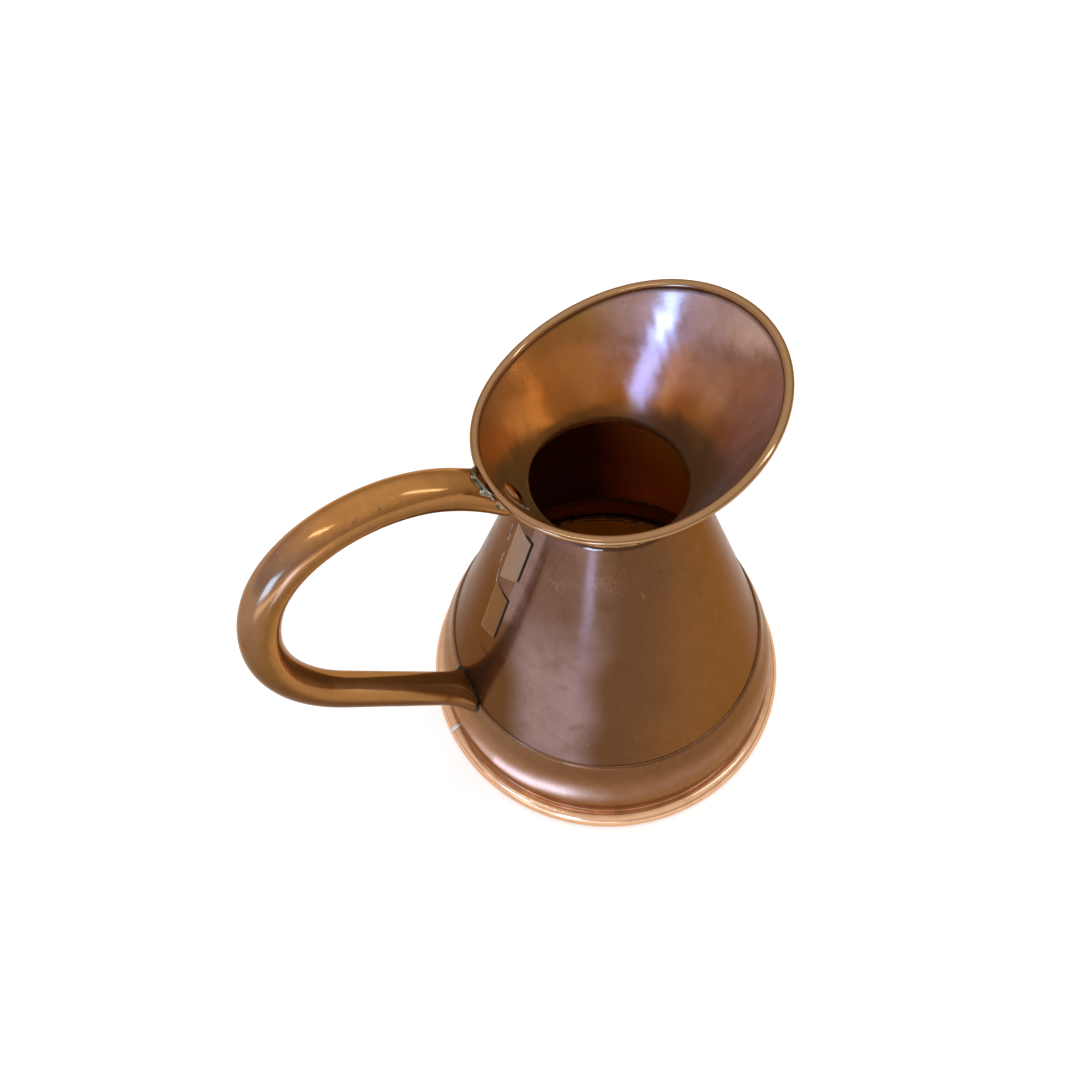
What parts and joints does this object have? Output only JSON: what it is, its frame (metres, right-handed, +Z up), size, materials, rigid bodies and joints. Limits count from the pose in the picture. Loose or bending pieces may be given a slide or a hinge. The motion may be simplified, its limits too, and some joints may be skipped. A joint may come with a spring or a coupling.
{
  "type": "copper jug",
  "caption": "Haystack-shaped copper pitcher: cone body on a moulded foot, narrow neck, slanted funnel mouth with a rolled lip, and a hollow tube handle riveted and soldered on.",
  "frame": {"origin": "middle of the footprint of the whole jug, handle included, on the floor", "axes": "+Z up, +X towards the spout and away from the handle, +Y to the jug's left as seen looking along +X; the jug's own axis stands at x = 33.3 mm"},
  "size_m": [0.2624, 0.1958, 0.2459],
  "materials": {
    "copper_sheet": "patinated copper, worn satin",
    "copper_handle": "patinated copper, polished by hands",
    "copper_rivet": "patinated copper, worn",
    "iron_wire": "dull drawn iron wire",
    "soft_solder": "dull grey soft solder"
  },
  "bodies": {
    "root": {"body_cone": "copper_sheet", "foot_skirt": "copper_sheet", "foot_wire": "iron_wire", "base_disc": "copper_sheet", "base_solder": "soft_solder", "foot_seam_solder": "soft_solder", "mouth_flare": "copper_sheet", "lip_wire": "iron_wire", "neck_solder": "soft_solder", "handle_tube": "copper_handle", "handle_top_plug": "copper_handle", "handle_foot_plug": "copper_handle", "handle_top_rivet": "copper_rivet", "handle_foot_rivet": "copper_rivet", "handle_top_solder": "soft_solder", "handle_foot_solder": "soft_solder", "rivet_solder": "soft_solder"}
  },
  "joints": []
}
